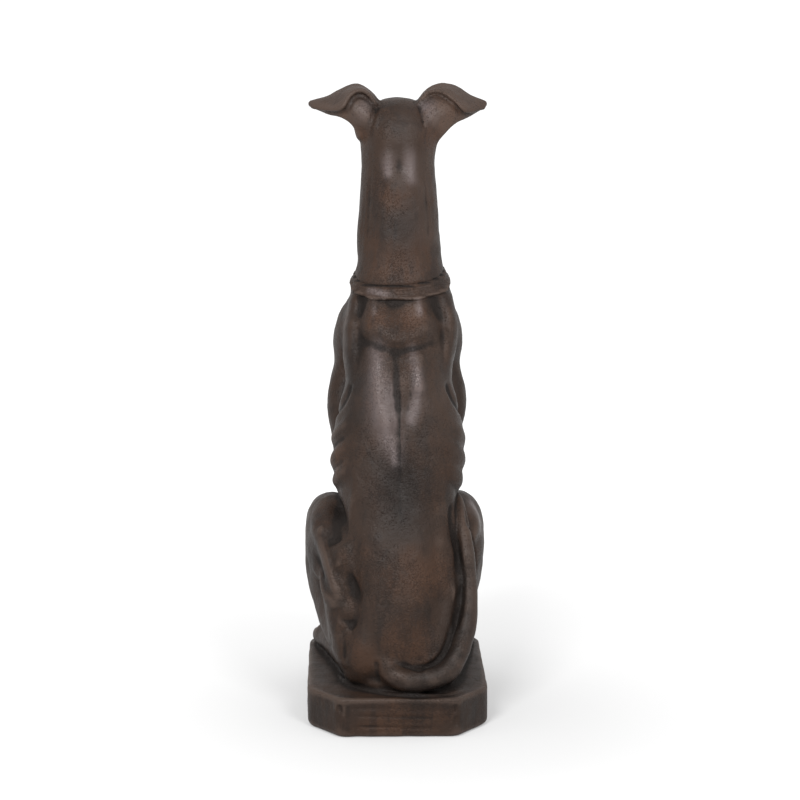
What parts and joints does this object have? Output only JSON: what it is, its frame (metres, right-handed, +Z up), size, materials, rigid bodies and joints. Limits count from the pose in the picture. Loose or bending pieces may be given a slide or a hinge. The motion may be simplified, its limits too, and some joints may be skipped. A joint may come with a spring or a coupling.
{
  "type": "garden dog statue",
  "caption": "Seated greyhound with outspread ears, a plain collar and a tail curled along its right thigh, cast as one with a low plinth whose corners are cut off.",
  "frame": {"origin": "middle of the plinth's flat underside", "axes": "+Z up, +Y the way the dog faces, +X to the dog's right, where its tail lies"},
  "size_m": [0.2274, 0.3886, 0.7668],
  "materials": {
    "cast_iron": "dark brown wax over iron, with rust-brown wear on the raised parts"
  },
  "bodies": {
    "root": {"greyhound_statue": "cast_iron"}
  },
  "joints": []
}
